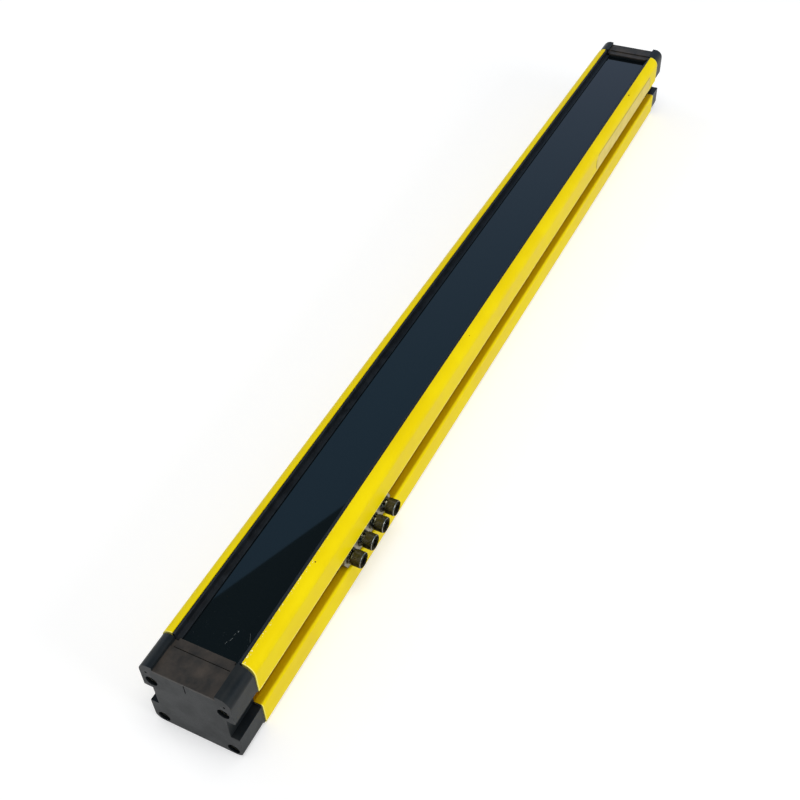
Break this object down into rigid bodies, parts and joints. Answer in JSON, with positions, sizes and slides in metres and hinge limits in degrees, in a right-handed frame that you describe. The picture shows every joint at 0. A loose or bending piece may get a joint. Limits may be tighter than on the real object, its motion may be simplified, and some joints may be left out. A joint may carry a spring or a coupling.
{
  "type": "safety light curtain",
  "caption": "Slim yellow light curtain bar with rounded shoulders, a recessed dark front screen, side T-slots, black end caps and a round connector stub.",
  "frame": {"origin": "centre of the housing's flat back face", "axes": "+X along the bar towards the connector end, +Z out of the front screen, +Y to the side with the empty slot"},
  "size_m": [0.6284, 0.0543, 0.046],
  "materials": {
    "yellow_coat": "yellow powder coat, semi-gloss",
    "tinted_screen": "dark tinted acrylic, polished",
    "seal_rubber": "black rubber, dull",
    "black_moulding": "black moulded plastic, fine grain",
    "black_steel": "black oxide steel",
    "bare_steel": "zinc-plated steel, dull",
    "circuit_board": "green solder mask",
    "clear_plastic": "clear moulded plastic",
    "display_plastic": "black moulded plastic",
    "contact_brass": "plated brass",
    "nickel_plate": "nickel-plated brass",
    "ribbon_grey": "grey ribbon",
    "label_film": "matte pale yellow film"
  },
  "bodies": {
    "root": {"housing_profile": "yellow_coat", "front_screen": "tinted_screen", "screen_seal_left": "seal_rubber", "screen_seal_right": "seal_rubber", "plain_end_cap": "black_moulding", "connector_end_cap": "black_moulding", "plain_end_gasket": "seal_rubber", "connector_end_gasket": "seal_rubber", "plain_end_screws": "black_steel", "connector_end_screws": "black_steel", "slide_nut": "bare_steel", "flat_washers": "black_steel", "spring_washers": "black_steel", "bracket_screws": "black_steel", "optics_carrier": "black_moulding", "beam_board": "circuit_board", "beam_emitters": "clear_plastic", "tunnel_strip": "black_moulding", "lens_strip": "clear_plastic", "status_display": "display_plastic", "status_lamps": "clear_plastic", "control_board": "circuit_board", "control_chips": "display_plastic", "ribbon_header": "display_plastic", "board_spacers": "contact_brass", "board_screws": "bare_steel", "beam_ribbon": "ribbon_grey", "wiring_ribbon": "ribbon_grey", "earth_strip": "contact_brass", "connector_shell": "nickel_plate", "connector_insert": "display_plastic", "contact_pins": "contact_brass", "connector_board": "circuit_board", "side_label": "label_film"}
  },
  "joints": []
}
